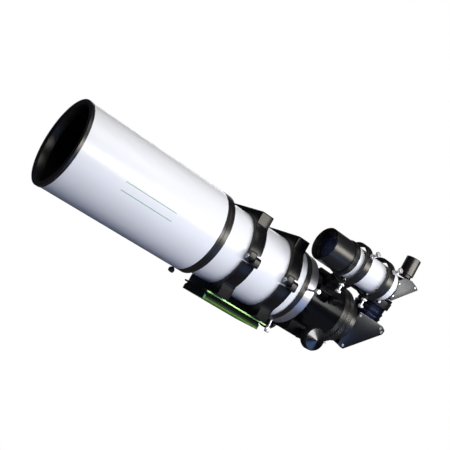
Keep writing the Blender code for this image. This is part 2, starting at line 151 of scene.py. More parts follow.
warm = (1.0, 0.95, 0.86)
mats = {
    "white": newMaterial("whitePaint", (0.84, 0.84, 0.855), 0.3, 0.0, bump=0.05,
                         grain=(220, 220, 220), colourSpread=0.015, roughSpread=0.05, coat=0.15,
                         specks=0.12),
    "black": newMaterial("blackAnodised", (0.0035, 0.0035, 0.0045), 0.27, 0.0, bump=0.06,
                         grain=(1800, 1800, 1800), colourSpread=0.2, tint=warm, specular=0.36),
    "blackTurned": newMaterial("blackTurned", (0.003, 0.003, 0.0035), 0.34, 0.0, bump=0.03,
                               grain=(2600, 9, 9), colourSpread=0.2, roughSpread=0.05, tint=warm,
                               specular=0.75),
    "deepBlack": newMaterial("focuserBlack", (0.0028, 0.0028, 0.0034), 0.18, 0.0, bump=0.03,
                             grain=(2600, 9, 9), colourSpread=0.2, roughSpread=0.05,
                             specular=0.22),
    "knurl": newMaterial("knurledBlack", (0.035, 0.033, 0.028), 0.3, 0.7, bump=0.05,
                         grain=(900, 900, 900), colourSpread=0.15, tint=warm),
    # edge: the bevel faces take a lighter grey, a painted highlight along the edges
    "edge": newMaterial("paintedEdgeHighlight", (0.11, 0.11, 0.115), 0.3, 0.8, bump=0.1, colourSpread=0.25),
    "spun": newMaterial("spunFace", (0.085, 0.083, 0.085), 0.19, 1.0, bump=0.0,
                        grain=(60, 2400, 60), colourSpread=0.1, roughSpread=0.04),
    "line": newMaterial("thinGreenLine", (0.14, 0.34, 0.1), 0.3, 0.0, bump=0.0),
    "flock": newMaterial("flockedBlack", (0.009, 0.009, 0.008), 0.85, 0.0, bump=0.8,
                         grain=(2600, 2600, 2600), colourSpread=0.3, specular=0.2),
    "green": newMaterial("greenAnodised", (0.006, 0.011, 0.006), 0.3, 0.0, bump=0.03,
                         grain=(12, 1600, 1600), colourSpread=0.1, specular=0.3),
    # a bright green for the plate's thin side faces: a painted highlight
    "greenEdgeHighlight": newMaterial("paintedHighlightGreenEdge", (0.5, 0.86, 0.28), 0.35, 0.2, bump=0.0,
                             colourSpread=0.05),
    # a pale green for the block's corner chamfers: a painted highlight
    "greenChamferHighlight": newMaterial("paintedHighlightChamfer", (0.24, 0.6, 0.38), 0.35, 0.2, bump=0.0,
                             colourSpread=0.1),
    "silver": newMaterial("silverMachined", (0.52, 0.51, 0.53), 0.42, 1.0, bump=0.06,
                          grain=(2600, 9, 9), colourSpread=0.08, roughSpread=0.06),
    "nickel": newMaterial("nickelPlate", (0.8, 0.78, 0.76), 0.28, 0.55, bump=0.15,
                          grain=(1500, 1500, 1500), colourSpread=0.08),
    "steel": newMaterial("turnedSteel", (0.45, 0.45, 0.47), 0.3, 1.0, bump=0.3,
                         grain=(3000, 3000, 40)),
    "navy": newMaterial("navyAnodised", (0.0045, 0.0048, 0.007), 0.3, 0.0, bump=0.05,
                        grain=(60, 60, 3000), colourSpread=0.2),
    "dark": newMaterial("darkCasting", (0.028, 0.032, 0.06), 0.22, 0.9, bump=0.06,
                        grain=(1200, 1200, 1200), colourSpread=0.25),
    "grey": newMaterial("greyPlate", (0.075, 0.075, 0.072), 0.42, 0.3, bump=0.4,
                        grain=(1500, 1500, 1500), colourSpread=0.12),
    "brass": newMaterial("brassRack", (0.62, 0.43, 0.17), 0.3, 1.0, bump=0.3,
                         grain=(60, 2600, 2600)),
    "rubber": newMaterial("rubberGrip", (0.014, 0.014, 0.015), 0.62, 0.0, bump=0.6,
                          grain=(1600, 1600, 1600), colourSpread=0.2),
    # a dark disc that stands in for a socket recess: painted shade
    "socketShade": newMaterial("paintedSocketShade", (0.004, 0.004, 0.004), 0.7, 0.0, bump=0.2),
    "mirror": newMaterial("mirrorFace", (0.9, 0.9, 0.91), 0.04, 1.0, bump=0.0, colourSpread=0.01,
                          roughSpread=0.02),
    "lens": glassMaterial("coatedGlass", (0.85, 0.92, 1.0), (0.45, 0.55, 1.0)),
}


def paintSheenByHeight(mat, low, high, sheenColour):  # painted reflection: a brighter colour towards the lower edge
    tree = mat.node_tree
    shader = tree.nodes["Principled BSDF"]
    before = shader.inputs["Base Color"].links[0].from_socket
    coords = tree.nodes.new("ShaderNodeTexCoord")
    split = tree.nodes.new("ShaderNodeSeparateXYZ")
    tree.links.new(coords.outputs["Object"], split.inputs[0])
    level = tree.nodes.new("ShaderNodeMapRange")
    level.interpolation_type = "SMOOTHSTEP"
    level.inputs["From Min"].default_value = high
    level.inputs["From Max"].default_value = low
    tree.links.new(split.outputs[2], level.inputs["Value"])
    mix = tree.nodes.new("ShaderNodeMix")
    mix.data_type = "RGBA"
    mix.inputs[7].default_value = (*sheenColour, 1)
    tree.links.new(level.outputs["Result"], mix.inputs[0])
    tree.links.new(before, mix.inputs[6])
    tree.links.new(mix.outputs[2], shader.inputs["Base Color"])
    return mat


# the block's sides: dark green with a painted reflection, brighter green towards the lower edge
mats["greenSidePaintedSheen"] = paintSheenByHeight(
    newMaterial("greenSidePaintedSheen", (0.006, 0.014, 0.006), 0.45, 0.0, bump=0.0, grain=(12, 1600, 1600),
                colourSpread=0.1, specular=0.1), 0.0002, 0.0044, (0.16, 0.36, 0.05))
print("materials made")


# mesh helpers: a piece is a list of (mesh in part metres, material key)
def radial(angle):  # across the telescope, from the near side towards the top
    turn = math.radians(angle)
    return Vector((0, -math.cos(turn), math.sin(turn)))


def sidesOf(axis):
    helper = xAxis if abs(axis.x) < 0.9 else zAxis
    first = axis.cross(helper).normalized()
    return first, axis.cross(first).normalized()


def frameAt(at, axis):  # local X runs along the axis, starting at a point in telescope coordinates
    first, second = sidesOf(axis)
    turn = Matrix((axis, first, second)).transposed().to_4x4()
    return Matrix.Translation((origin + Vector(at)) * mm) @ turn @ Matrix.Scale(mm, 4)


def softened(profile, radius, steps=3):
    out = []
    count = len(profile)
    for i, here in enumerate(profile):
        before, after = profile[i - 1], profile[(i + 1) % count]
        back = Vector(before) - Vector(here)
        ahead = Vector(after) - Vector(here)
        reach = min(radius, back.length * 0.4, ahead.length * 0.4)
        straight = back.length and ahead.length and back.angle(ahead, 0) > math.radians(165)
        if here[1] == 0 or reach < 0.02 or straight:
            out.append(here)
            continue
        start = Vector(here) + back.normalized() * reach
        end = Vector(here) + ahead.normalized() * reach
        for k in range(steps + 1):
            t = k / steps
            point = start * (1 - t) ** 2 + Vector(here) * 2 * t * (1 - t) + end * t * t
            out.append((point.x, point.y))
    return out


def toMesh(tool, matrix=None):
    bmesh.ops.remove_doubles(tool, verts=tool.verts, dist=1e-7)
    bmesh.ops.recalc_face_normals(tool, faces=tool.faces)
    mesh = bpy.data.meshes.new("shape")
    tool.to_mesh(mesh)
    tool.free()
    if matrix:
        mesh.transform(matrix)
    return mesh


def addTurned(piece, key, profile, at=(0, 0, 0), axis=xAxis, count=112, soft=0.4):
    if soft:
        profile = softened(profile, soft)
    tool = bmesh.new()
    rings = []
    for along, radius in profile:
        if radius <= 0:
            rings.append([tool.verts.new((along, 0, 0))])
            continue
        ring = []
        for i in range(count):
            turn = 2 * math.pi * i / count
            ring.append(tool.verts.new((along, radius * math.cos(turn), radius * math.sin(turn))))
        rings.append(ring)
    for here, there in zip(rings, rings[1:] + rings[:1]):
        if len(here) == 1 and len(there) == 1:
            continue
        for i in range(count):
            j = (i + 1) % count
            if len(here) == 1:
                tool.faces.new((here[0], there[i], there[j]))
            elif len(there) == 1:
                tool.faces.new((here[i], here[j], there[0]))
            else:
                tool.faces.new((here[i], here[j], there[j], there[i]))
    bmesh.ops.recalc_face_normals(tool, faces=tool.faces)
    mesh = bpy.data.meshes.new("shape")
    tool.to_mesh(mesh)
    tool.free()
    mesh.transform(frameAt(at, Vector(axis).normalized()))
    piece.append((mesh, key))


def addExtruded(piece, key, outline, low, high, across, up, along, at=(0, 0, 0), bevel=0.5,
                sharpOnly=25, edge=None):
    tool = bmesh.new()
    base = Vector(at)
    ends = []
    for level in (low, high):
        ring = [tool.verts.new(base + across * u + up * v + along * level) for u, v in outline]
        ends.append(ring)
        tool.faces.new(ring)
    count = len(outline)
    for i in range(count):
        j = (i + 1) % count
        tool.faces.new((ends[0][i], ends[0][j], ends[1][j], ends[1][i]))
    bmesh.ops.recalc_face_normals(tool, faces=tool.faces)
    if bevel:
        limit = math.radians(sharpOnly)
        edges = [e for e in tool.edges if e.calc_face_angle(0) > limit]
        bmesh.ops.bevel(tool, geom=edges, offset=bevel, segments=2, profile=0.5, affect="EDGES",
                        clamp_overlap=True, material=1 if edge else -1)
    mesh = toMesh(tool, Matrix.Scale(mm, 4) @ Matrix.Translation(origin))
    piece.append((mesh, key, edge or key))


def addBox(piece, key, low, high, bevel=0.5, at=(0, 0, 0)):
    outline = [(low[1], low[2]), (high[1], low[2]), (high[1], high[2]), (low[1], high[2])]
    addExtruded(piece, key, outline, low[0], high[0], yAxis, zAxis, xAxis, at, bevel)


def arc(radius, start, end, steps, centre=(0, 0)):
    turns = [math.radians(start + (end - start) * i / steps) for i in range(steps + 1)]
    return [(centre[0] + radius * math.cos(t), centre[1] + radius * math.sin(t)) for t in turns]


def rounded(outline, radius, steps=4, only=None):  # rounds chosen corners of an outline
    out = []
    count = len(outline)
    for i, here in enumerate(outline):
        if only is not None and i not in only:
            out.append(here)
            continue
        back = Vector(outline[i - 1]) - Vector(here)
        ahead = Vector(outline[(i + 1) % count]) - Vector(here)
        reach = min(radius, back.length * 0.45, ahead.length * 0.45)
        start = Vector(here) + back.normalized() * reach
        end = Vector(here) + ahead.normalized() * reach
        for k in range(steps + 1):
            t = k / steps
            point = start * (1 - t) ** 2 + Vector(here) * 2 * t * (1 - t) + end * t * t
            out.append((point.x, point.y))
    return out


def cutFlat(piece, point, normal, key):  # takes off a corner of the mesh added last
    mesh, *finishes = piece.pop()
    tool = bmesh.new()
    tool.from_mesh(mesh)
    bpy.data.meshes.remove(mesh)
    cut = bmesh.ops.bisect_plane(tool, geom=tool.verts[:] + tool.edges[:] + tool.faces[:],
                                 plane_co=(origin + Vector(point)) * mm, plane_no=normal,
                                 clear_outer=True)
    edges = [e for e in cut["geom_cut"] if isinstance(e, bmesh.types.BMEdge)]
    for face in bmesh.ops.holes_fill(tool, edges=edges)["faces"]:
        face.material_index = len(finishes)
    piece.append((toMesh(tool), *finishes, key))


def carve(piece, cutter):  # takes the shapes of one list away from the mesh added last
    mesh, *finishes = piece.pop()
    body = bpy.data.objects.new("body", mesh)
    bpy.context.scene.collection.objects.link(body)
    tools = []
    for shape, *_ in cutter:
        shape.materials.clear()
        tool = bpy.data.objects.new("tool", shape)
        bpy.context.scene.collection.objects.link(tool)
        step = body.modifiers.new("cut", "BOOLEAN")
        step.operation, step.solver, step.object = "DIFFERENCE", "EXACT", tool
        tools.append(tool)
    graph = bpy.context.evaluated_depsgraph_get()
    carved = bpy.data.meshes.new_from_object(body.evaluated_get(graph))
    carved.materials.clear()
    for obj in [body] + tools:
        bpy.data.objects.remove(obj, do_unlink=True)
    piece.append((carved, *finishes))


def closePiece(piece, name, body, replaced=(), sharp=24):
    keys = []
    tool = bmesh.new()
    for mesh, *finishes in piece:
        for key in finishes:
            if key not in keys:
                keys.append(key)
        first = len(tool.faces)
        tool.from_mesh(mesh)
        tool.faces.ensure_lookup_table()
        for face in tool.faces[first:]:
            key = finishes[min(face.material_index, len(finishes) - 1)]
            face.material_index = keys.index(key)
            face.smooth = True
        bpy.data.meshes.remove(mesh)
    made = bpy.data.meshes.new(name)
    tool.to_mesh(made)
    tool.free()
    for key in keys:
        made.materials.append(mats[key])
    made.set_sharp_from_angle(angle=math.radians(sharp))
    obj = bpy.data.objects.new(name, made)
    bpy.context.scene.collection.objects.link(obj)
    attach(obj, body)
    if replaced:
        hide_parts(*replaced)
    return obj


# geometry nodes: knurled bands, and copies of a small shape set on points
def addInput(tree, name, kind, value):
    socket = tree.interface.new_socket(name=name, in_out="INPUT", socket_type=kind)
    if value is not None:
        socket.default_value = value


def mathNode(tree, operation, first, second=None):
    node = tree.nodes.new("ShaderNodeMath")
    node.operation = operation
    for i, value in enumerate((first, second)):
        if value is None:
            continue
        if isinstance(value, (int, float)):
            node.inputs[i].default_value = value
        else:
            tree.links.new(value, node.inputs[i])
    return node.outputs[0]


def makeKnurlTree():
    tree = bpy.data.node_groups.new("knurledBand", "GeometryNodeTree")
    tree.interface.new_socket(name="Geometry", in_out="OUTPUT", socket_type="NodeSocketGeometry")
    for name, value in (("Radius", 0.02), ("Width", 0.01), ("Depth", 0.0005), ("Slant", 0.0),
                        ("Crown", 1.0)):
        addInput(tree, name, "NodeSocketFloat", value)
    for name, value in (("Teeth", 60), ("Around", 361), ("Rows", 12)):
        addInput(tree, name, "NodeSocketInt", value)
    addInput(tree, "Material", "NodeSocketMaterial", None)
    given = tree.nodes.new("NodeGroupInput").outputs
    out = tree.nodes.new("NodeGroupOutput")
    grid = tree.nodes.new("GeometryNodeMeshGrid")
    tree.links.new(given["Rows"], grid.inputs["Vertices X"])
    tree.links.new(given["Around"], grid.inputs["Vertices Y"])
    split = tree.nodes.new("ShaderNodeSeparateXYZ")
    tree.links.new(tree.nodes.new("GeometryNodeInputPosition").outputs[0], split.inputs[0])
    along, round_ = split.outputs[0], split.outputs[1]
    turns = mathNode(tree, "MULTIPLY", round_, given["Teeth"])
    lean = mathNode(tree, "MULTIPLY", along, given["Slant"])
    rise = mathNode(tree, "PINGPONG", mathNode(tree, "ADD", turns, lean), 0.5)
    fall = mathNode(tree, "PINGPONG", mathNode(tree, "SUBTRACT", turns, lean), 0.5)
    peak = mathNode(tree, "MULTIPLY", mathNode(tree, "MINIMUM", rise, fall), 2.0)
    height = mathNode(tree, "MINIMUM", mathNode(tree, "MULTIPLY", peak, given["Crown"]), 1.0)
    edge = mathNode(tree, "SUBTRACT", 0.5, mathNode(tree, "ABSOLUTE", along))
    fade = mathNode(tree, "MINIMUM", mathNode(tree, "MULTIPLY", edge, 10.0), 1.0)
    lower = mathNode(tree, "SUBTRACT", 1.0, mathNode(tree, "MULTIPLY", height, fade))
    radius = mathNode(tree, "SUBTRACT", given["Radius"],
                      mathNode(tree, "MULTIPLY", lower, given["Depth"]))
    angle = mathNode(tree, "MULTIPLY", round_, 2 * math.pi)
    joinXyz = tree.nodes.new("ShaderNodeCombineXYZ")
    tree.links.new(mathNode(tree, "MULTIPLY", along, given["Width"]), joinXyz.inputs[0])
    tree.links.new(mathNode(tree, "MULTIPLY", radius, mathNode(tree, "COSINE", angle)),
                   joinXyz.inputs[1])
    tree.links.new(mathNode(tree, "MULTIPLY", radius, mathNode(tree, "SINE", angle)),
                   joinXyz.inputs[2])
    move = tree.nodes.new("GeometryNodeSetPosition")
    tree.links.new(grid.outputs["Mesh"], move.inputs["Geometry"])
    tree.links.new(joinXyz.outputs[0], move.inputs["Position"])
    weld = tree.nodes.new("GeometryNodeMergeByDistance")
    weld.inputs["Distance"].default_value = 1e-6
    tree.links.new(move.outputs[0], weld.inputs[0])
    real = tree.nodes.new("GeometryNodeRealizeInstances")
    tree.links.new(weld.outputs[0], real.inputs[0])
    paint = tree.nodes.new("GeometryNodeSetMaterial")
    tree.links.new(real.outputs[0], paint.inputs["Geometry"])
    tree.links.new(given["Material"], paint.inputs["Material"])
    tree.links.new(paint.outputs[0], out.inputs[0])
    return tree


def makeCopyTree():
    tree = bpy.data.node_groups.new("copiesOnPoints", "GeometryNodeTree")
    tree.interface.new_socket(name="Geometry", in_out="OUTPUT", socket_type="NodeSocketGeometry")
    addInput(tree, "Points", "NodeSocketGeometry", None)
    addInput(tree, "Shape", "NodeSocketObject", None)
    addInput(tree, "Turn", "NodeSocketVector", (0, 0, 0))
    addInput(tree, "Size", "NodeSocketFloat", 1.0)
    addInput(tree, "Material", "NodeSocketMaterial", None)
    given = tree.nodes.new("NodeGroupInput").outputs
    out = tree.nodes.new("NodeGroupOutput")
    shape = tree.nodes.new("GeometryNodeObjectInfo")
    tree.links.new(given["Shape"], shape.inputs["Object"])
    copies = tree.nodes.new("GeometryNodeInstanceOnPoints")
    tree.links.new(given["Points"], copies.inputs["Points"])
    tree.links.new(shape.outputs["Geometry"], copies.inputs["Instance"])
    turn = tree.nodes.new("FunctionNodeEulerToRotation")
    tree.links.new(given["Turn"], turn.inputs[0])
    tree.links.new(turn.outputs[0], copies.inputs["Rotation"])
    tree.links.new(given["Size"], copies.inputs["Scale"])
    real = tree.nodes.new("GeometryNodeRealizeInstances")
    tree.links.new(copies.outputs[0], real.inputs[0])
    paint = tree.nodes.new("GeometryNodeSetMaterial")
    tree.links.new(real.outputs[0], paint.inputs["Geometry"])
    tree.links.new(given["Material"], paint.inputs["Material"])
    tree.links.new(paint.outputs[0], out.inputs[0])
    return tree


def runTree(tree, values, points=()):
    base = bpy.data.meshes.new("seed")
    base.from_pydata([tuple(p) for p in points] or [(0, 0, 0)], [], [])
    holder = bpy.data.objects.new("seed", base)
    bpy.context.scene.collection.objects.link(holder)
    step = holder.modifiers.new("make", "NODES")
    step.node_group = tree
    ids = {item.name: item.identifier for item in tree.interface.items_tree
           if item.item_type == "SOCKET" and item.in_out == "INPUT"}
    for name, value in values.items():
        step[ids[name]] = value
    holder.update_tag()
    graph = bpy.context.evaluated_depsgraph_get()
    mesh = bpy.data.meshes.new_from_object(holder.evaluated_get(graph))
    bpy.data.objects.remove(holder, do_unlink=True)
    mesh.materials.clear()
    return mesh


knurlTree, copyTree = makeKnurlTree(), makeCopyTree()


def addKnurl(piece, key, at, axis, middle, radius, width, teeth, depth, slant=0.0, rows=4,
             fine=4, crown=1.0):
    mesh = runTree(knurlTree, {"Radius": radius, "Width": width, "Depth": depth, "Slant": slant,
                               "Crown": crown, "Teeth": teeth, "Around": teeth * fine + 1,
                               "Rows": rows, "Material": mats[key]})
    axis = Vector(axis).normalized()
    mesh.transform(frameAt(Vector(at) + axis * middle, axis))
    tool = bmesh.new()
    tool.from_mesh(mesh)
    bpy.data.meshes.remove(mesh)
    centre = (origin + Vector(at) + axis * middle) * mm
    for face in tool.faces:
        face.normal_update()
        away = face.calc_center_median() - centre
        if face.normal.dot(away - axis * away.dot(axis)) < 0:
            face.normal_flip()
    out = bpy.data.meshes.new("shape")
    tool.to_mesh(out)
    tool.free()
    piece.append((out, key))


def capScrewShape(radius, height):  # a socket head with a hexagonal recess, standing on z = 0
    tool = bmesh.new()
    sides = 24
    rings = []
    levels = [(radius, 0), (radius, height * 0.8), (radius * 0.88, height)]
    for r, z in levels:
        rings.append([tool.verts.new((r * math.cos(2 * math.pi * i / sides),
                                      r * math.sin(2 * math.pi * i / sides), z))
                      for i in range(sides)])
    for low, high in zip(rings, rings[1:]):
        for i in range(sides):
            j = (i + 1) % sides
            tool.faces.new((low[i], low[j], high[j], high[i]))
    hexRadius = radius * 0.52
    mouth, floor = [], []
    for i in range(sides):  # points on a hexagon, one for each side of the head
        turn = 2 * math.pi * i / sides
        local = (turn + math.pi / 6) % (math.pi / 3) - math.pi / 6
        r = hexRadius * math.cos(math.pi / 6) / math.cos(local)
        mouth.append(tool.verts.new((r * math.cos(turn), r * math.sin(turn), height)))
        floor.append(tool.verts.new((r * math.cos(turn), r * math.sin(turn), height * 0.35)))
    for i in range(sides):
        j = (i + 1) % sides
        tool.faces.new((rings[-1][i], rings[-1][j], mouth[j], mouth[i]))
        tool.faces.new((mouth[i], mouth[j], floor[j], floor[i]))
    tool.faces.new(floor)
    tool.faces.new(rings[0])
    return toMesh(tool)


def addCapScrews(piece, key, points, axis, radius, height):
    shape = bpy.data.objects.new("capShape", capScrewShape(radius * mm, height * mm))
    bpy.context.scene.collection.objects.link(shape)
    turn = Vector(axis).to_track_quat("Z", "Y").to_euler()
    places = [(origin + Vector(p)) * mm for p in points]
    mesh = runTree(copyTree, {"Shape": shape, "Turn": tuple(turn), "Size": 1.0,
                              "Material": mats[key]}, places)
    bpy.data.objects.remove(shape, do_unlink=True)
    piece.append((mesh, key))


def thumbScrew(name, body, at, axis, tip, shoulder, end, stem=2.0, head=4.6, nut=None,
               key="nickel", teeth=22):
    piece = []
    axis = Vector(axis).normalized()
    addTurned(piece, key, [(tip, 0), (tip, stem * 0.7), (tip + 0.6, stem), (shoulder + 0.5, stem),
                           (shoulder + 0.5, 0)], at, axis, 28, 0)
    addTurned(piece, key, [(shoulder, 0), (shoulder, head * 0.62), (shoulder + 1.1, head * 0.7),
                           (shoulder + 1.6, head - 0.35), (end - 0.9, head - 0.35),
                           (end, head - 1.2), (end, head * 0.35), (end - 0.5, 0)],
              at, axis, 40, 0.2)
    width = (end - 0.8) - (shoulder + 1.6)
    addKnurl(piece, key, at, axis, shoulder + 1.6 + width / 2, head, width, teeth,
             0.5, rows=4, fine=4)
    if nut:
        addTurned(piece, key, [(nut[0], 0), (nut[0], nut[2] - 0.5), (nut[1], nut[2] - 0.5),
                               (nut[1], 0)], at, axis, 40, 0.2)
        addKnurl(piece, key, at, axis, (nut[0] + nut[1]) / 2, nut[2],
                 (nut[1] - nut[0] - 0.4), 20, 0.4, rows=4, fine=4)
    return closePiece(piece, name + "Shape", body, [name])


# dew shield
shield = {"radius": 71.8, "bore": 69.8, "start": 6.9, "end": 265.7, "ridgePitch": 4.0,
          "ridgeDepth": 0.7}
piece = []
addTurned(piece, "white", [(shield["start"], 70.6), (shield["start"], shield["radius"]),
                           (shield["end"], shield["radius"]), (shield["end"], 70.6)], count=160)
ridges = [(shield["end"], 70.6), (shield["start"], 70.6), (shield["start"], 69.8)]
station = 17.0
while station < 252:  # fine steps inside that stop stray light
    ridges += [(station, shield["bore"] + shield["ridgeDepth"]), (station + 0.8, shield["bore"]),
               (station + 1.4, shield["bore"]), (station + 1.5, shield["bore"] + 0.6)]
    station += shield["ridgePitch"]
ridges.append((shield["end"], 69.8))
addTurned(piece, "flock", ridges, count=112, soft=0)
for angle in (-4.2, -15.5):  # two thin lines along the near side
    turn = math.radians(180 - angle)
    half = math.radians(0.42)
    strip = arc(71.8, math.degrees(turn - half), math.degrees(turn + half), 3)
    strip += arc(71.79, math.degrees(turn + half), math.degrees(turn - half), 3)
    strip = [(y * (1 + 0.00002), z * (1 + 0.00002)) for y, z in strip]
    addExtruded(piece, "line", strip, 89, 184, yAxis, zAxis, xAxis, bevel=0)
closePiece(piece, "dewShieldTube", "dew_shield", ["dew_shield"])

piece = []
addTurned(piece, "blackTurned", [(0, 67), (0, 71.2), (1.2, 72.7), (6.6, 72.7), (6.6, 69.4),
                                 (16, 69.4), (16, 61.5), (14.9, 61.5), (3, 64.4), (0.9, 66.4)],
          count=160, soft=0.35)
closePiece(piece, "dewShieldFrontRim", "dew_shield", ["dew_shield_rim"])

piece = []
addTurned(piece, "blackTurned", [(256, 65.5), (256, 69.4), (266, 69.4), (266, 71.9),
                                 (271, 71.9), (271.4, 71.5), (271.9, 71.5), (272.3, 71.9),
                                 (280.6, 71.9), (280.6, 65.5)], count=160, soft=0.4)
closePiece(piece, "dewShieldCollar", "dew_shield", ["dew_shield_collar"])
down = Vector((0, math.sin(math.radians(15)), -math.cos(math.radians(15))))
thumbScrew("dew_shield_lock_screw", "dew_shield_lock", (272.5, 0, 0), down, 65.4, 74.6, 82.6,
           head=5.2, key="blackTurned")
print("dew shield made")

# objective and main tube
piece = []
addTurned(piece, "flock", [(122, 56.4), (122, 64), (123, 67), (149.7, 67), (149.7, 62.8),
                           (165, 62.8), (165, 53), (150, 53), (150, 56.4)])
closePiece(piece, "lensCell", "telescope_tube", ["lens_cell"])
piece = []
addTurned(piece, "blackTurned", [(124, 53.2), (124, 56.0), (129.5, 56.0), (129.0, 53.2)],
          soft=0.2)
closePiece(piece, "lensRetainer", "telescope_tube", ["lens_retainer"])


def lensProfile(frontMiddle, frontEdge, backMiddle, backEdge, radius, steps=12):
    front = [(frontMiddle + (frontEdge - frontMiddle) * (i / steps) ** 2, radius * i / steps)
             for i in range(steps + 1)]
    back = [(backMiddle + (backEdge - backMiddle) * (i / steps) ** 2, radius * i / steps)
            for i in range(steps + 1)]
    return front + back[::-1]


for name, values in (("lens_front", (124.5, 130, 138.8, 136.5)),
                     ("lens_rear", (140, 137.2, 148.2, 149.6))):
    piece = []
    addTurned(piece, "lens", lensProfile(*values, 55.9), soft=0)
    closePiece(piece, name + "Shape", "telescope_tube", [name])

piece = []
addTurned(piece, "white", [(150, 64.2), (150, 65), (454.9, 65), (454.9, 64.2)], count=160)
addTurned(piece, "flock", [(150, 63.2), (150, 64.2), (454.9, 64.2), (454.9, 63.2)], soft=0)
closePiece(piece, "mainTube", "telescope_tube", ["main_tube"])

piece = []
addTurned(piece, "blackTurned", [(445, 60), (445, 62.8), (455.2, 62.8), (455.2, 65.4),
                                 (453.4, 65.4), (453.4, 66.8), (457.8, 66.8), (458.1, 66.5),
                                 (458.7, 66.5), (459, 66.8), (463.5, 66.8), (463.5, 60)],
          count=160, soft=0.35)
closePiece(piece, "tubeCollar", "telescope_tube", ["tube_collar"])
print("tube made")

# clamp rings
ringValues = {"width": 24.2, "front": 326.6, "rear": 411.6, "bore": 65.3, "outer": 72.1,
              "flat": 50.7, "top": 74.8, "foot": -76.7}


def ringOutline(sign):  # half a ring with a squared foot; sign 1 is the upper half
    flat, outer = ringValues["flat"], ringValues["outer"]
    corner = math.degrees(math.acos(flat / outer))
    level = ringValues["top"] if sign > 0 else -ringValues["foot"]
    side = math.sqrt(outer ** 2 - flat ** 2)
    path = arc(outer, 0.25, corner - 5, 14)
    bend = rounded([path[-1], (flat, side + 1.5), (flat, level)], 5, 4, only=[1])
    path += bend[1:-1] + rounded([(flat, side + 4), (flat, level), (0, level)], 2.2, 4, [1])[1:-1]
    whole = path + [(-y, z) for y, z in reversed(path)]
    return [(y, z * sign) for y, z in whole]


def makeRing(where):
    x0 = ringValues[where]
    x1 = x0 + ringValues["width"]
    middle = (x0 + x1) / 2
    near = (0, -73.5, -1)
    inner = arc(ringValues["bore"], 179.75, 0.25, 60)
    piece = []
    # the bevel faces take the lighter edge colour, a painted highlight
    addExtruded(piece, "black", ringOutline(1) + inner, x0, x1, yAxis, zAxis, xAxis, bevel=1.0,
                sharpOnly=40, edge="edge")
    relief = []
    addBox(relief, "black", (middle - 0.3, -85, -8), (x1 + 1, -60, 8.2), 0)
    carve(piece, relief)
    barrel = arc(5.95, 180, 360, 14, (-73.5, -1))
    outline = [(-79.45, -1)] + barrel[1:-1] + [(-67.55, -1), (-66.5, 0.5), (-66.2, 9.5)]
    outline += rounded([(-66.2, 9.5), (-79.3, 9.6), (-79.45, -1)], 2.5, 4, [1])[1:-1]
    addExtruded(piece, "black", outline, x0 + 0.05, middle - 0.35, yAxis, zAxis, xAxis, bevel=0.6,
                sharpOnly=40)
    ear = rounded([(middle - 9, 66.5), (middle - 9, 91), (middle + 9, 91), (middle + 9, 66.5)],
                  5, 5, [1, 2])
    addExtruded(piece, "black", ear, 1.5, 9.5, xAxis, yAxis, zAxis, bevel=0.7, sharpOnly=40)
    addCapScrews(piece, "steel", [(middle - 6, 0, 74.1), (middle + 6, 0, 74.1)], zAxis, 2.6, 1.5)
    closePiece(piece, f"ringUpper_{where}", f"ring_{where}_upper", [f"ring_{where}_upper"])

    piece = []
    inner = arc(ringValues["bore"], -179.75, -0.25, 60)
    # the bevel faces take the lighter edge colour, a painted highlight
    addExtruded(piece, "black", ringOutline(-1) + inner, x0, x1, yAxis, zAxis, xAxis, bevel=1.0,
                sharpOnly=40, edge="edge")
    relief = []
    addBox(relief, "black", (x0 - 1, -85, -10.8), (middle + 0.3, -60, 8), 0)
    carve(piece, relief)
    outline = [(-67.55, -1)] + arc(5.95, 0, 180, 14, (-73.5, -1))[1:-1] + [(-79.45, -1)]
    outline += rounded([(-79.45, -1), (-79.3, -12.3), (-66.2, -12.3)], 3, 4, [1])[1:-1]
    outline += [(-66.2, -12.3), (-66.5, -1.8)]
    addExtruded(piece, "black", outline, middle + 0.35, x1 - 0.05, yAxis, zAxis, xAxis, bevel=0.6,
                sharpOnly=40)
    half = 3.8
    for x in ((middle - 9, middle - half), (middle + half, middle + 9)):
        addBox(piece, "black", (x[0], 66.5, -9.5), (x[1], 91, -1.5), 0.7)
    addBox(piece, "black", (middle - 9, 66.5, -9.5), (middle + 9, 77.6, -1.5), 0.5)
    closePiece(piece, f"ringLower_{where}", "telescope_tube", [f"ring_{where}_lower"])

    piece = []
    addTurned(piece, "steel", [(x0 - 1.8, 0), (x0 - 1.8, 3.4), (x0 - 1.2, 4.1), (x0 - 0.3, 4.2),
                               (x0 - 0.3, 2.5), (x1 + 0.6, 2.5), (x1 + 0.6, 0)], near, xAxis, 32,
              0.15)
    # a dark disc on the pin's end face stands for its socket: painted shade
    addTurned(piece, "socketShade", [(x0 - 1.85, 0), (x0 - 1.85, 1.7), (x0 - 1.6, 1.7), (x0 - 1.6, 0)],
              near, xAxis, 6, 0)
    closePiece(piece, f"hingePin_{where}", "telescope_tube", [f"hinge_pin_{where}"])

    piece = []
    at = (middle, 82, 0)
    addTurned(piece, "steel", [(-14, 0), (-14, 2.4), (-13.3, 3), (10, 3), (10, 0)], at, zAxis, 32,
              0.2)
    addTurned(piece, "black", [(9.8, 0), (9.8, 7), (11.5, 8.4), (24, 8.4), (26, 6.8), (26, 0)],
              at, zAxis, 48, 0.5)
    addKnurl(piece, "black", at, zAxis, 17.6, 9, 12.5, 22, 0.9, rows=6, fine=6,
             crown=1.6)
    closePiece(piece, f"clampKnob_{where}", f"clamp_knob_{where}", [f"clamp_knob_{where}"])


makeRing("front")
makeRing("rear")
print("clamp rings made")

